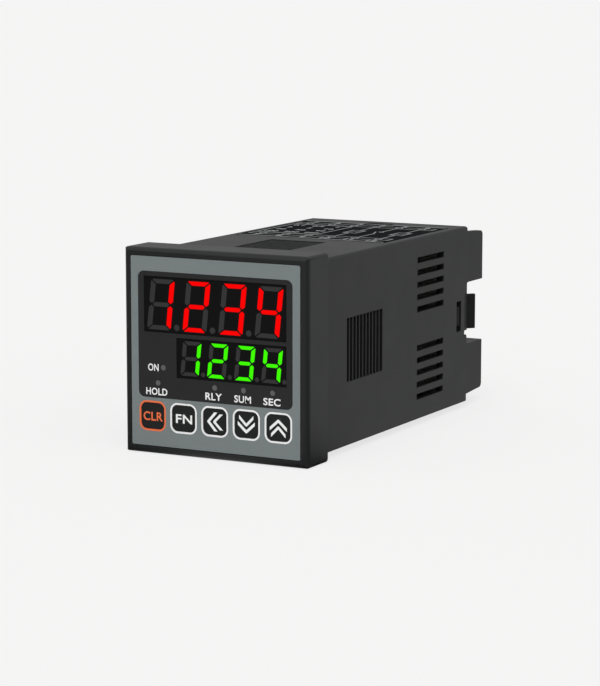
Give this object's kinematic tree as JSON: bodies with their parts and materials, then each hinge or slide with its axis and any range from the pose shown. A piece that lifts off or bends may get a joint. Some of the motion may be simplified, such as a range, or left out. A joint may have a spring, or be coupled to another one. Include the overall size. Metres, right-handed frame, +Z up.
{
  "type": "panel counter",
  "caption": "Square panel-mount digital counter with stacked LED displays, a row of push keys, a long vented case with bracket recesses, and screw terminals at the rear.",
  "frame": {"origin": "centre of the square panel cut-out, on the rear face of the bezel's flange", "axes": "+X to the right seen from the front, +Y back through the panel, +Z up"},
  "size_m": [0.048, 0.1014, 0.048],
  "materials": {
    "bezel_plastic": "satin moulded",
    "overlay_film": "satin print",
    "window_film": "semi-gloss print",
    "display_face": "smooth",
    "red_segment": "lit",
    "green_segment": "lit",
    "dark_segment": "unlit resin",
    "lamp_lens": "unlit lens",
    "lamp_chip": "moulded",
    "orange_print": "print",
    "white_print": "print",
    "key_face": "satin print",
    "plunger_plastic": "moulded",
    "switch_plastic": "moulded",
    "board_laminate": "solder mask",
    "case_plastic": "fine moulded texture",
    "label_film": "print",
    "block_plastic": "moulded",
    "plate_metal": "plated",
    "screw_metal": "plated",
    "core_ferrite": "sintered",
    "winding_tape": "tape",
    "capacitor_sleeve": "sleeve",
    "relay_cover": "moulded",
    "package_plastic": "moulded",
    "coupler_plastic": "moulded"
  },
  "bodies": {
    "housing": {"front_bezel": "bezel_plastic", "front_overlay": "overlay_film", "display_window": "window_film", "upper_display": "display_face", "upper_lit_segments": "red_segment", "upper_dark_segments": "dark_segment", "lower_display": "display_face", "lower_lit_segments": "green_segment", "lower_dark_segments": "dark_segment", "indicator_lamps": "lamp_lens", "lamp_chips": "lamp_chip", "reset_outline": "orange_print", "key_outlines": "white_print", "key_switches": "switch_plastic", "display_board": "board_laminate", "rear_case": "case_plastic", "wiring_label": "label_film", "terminal_block": "block_plastic", "terminal_plates": "plate_metal", "clamp_washers": "plate_metal", "terminal_screws": "screw_metal", "terminal_board": "board_laminate", "power_board": "board_laminate", "control_board": "board_laminate", "board_headers": "package_plastic", "transformer_core": "core_ferrite", "transformer_winding": "winding_tape", "filter_capacitors": "capacitor_sleeve", "output_relay": "relay_cover", "microcontroller": "package_plastic", "input_couplers": "coupler_plastic"},
    "reset_button": {"reset_key": "key_face", "reset_plunger": "plunger_plastic"},
    "function_button": {"function_key": "key_face", "function_plunger": "plunger_plastic"},
    "left_button": {"left_key": "key_face", "left_plunger": "plunger_plastic"},
    "down_button": {"down_key": "key_face", "down_plunger": "plunger_plastic"},
    "up_button": {"up_key": "key_face", "up_plunger": "plunger_plastic"}
  },
  "joints": [
    {"name": "reset_press", "type": "slide", "parent": "housing", "child": "reset_button", "axis": [0, 1, 0], "range_m": [0, 0.0004], "stiffness_N_per_m": 2000},
    {"name": "function_press", "type": "slide", "parent": "housing", "child": "function_button", "axis": [0, 1, 0], "range_m": [0, 0.0004], "stiffness_N_per_m": 2000},
    {"name": "left_press", "type": "slide", "parent": "housing", "child": "left_button", "axis": [0, 1, 0], "range_m": [0, 0.0004], "stiffness_N_per_m": 2000},
    {"name": "down_press", "type": "slide", "parent": "housing", "child": "down_button", "axis": [0, 1, 0], "range_m": [0, 0.0004], "stiffness_N_per_m": 2000},
    {"name": "up_press", "type": "slide", "parent": "housing", "child": "up_button", "axis": [0, 1, 0], "range_m": [0, 0.0004], "stiffness_N_per_m": 2000}
  ]
}
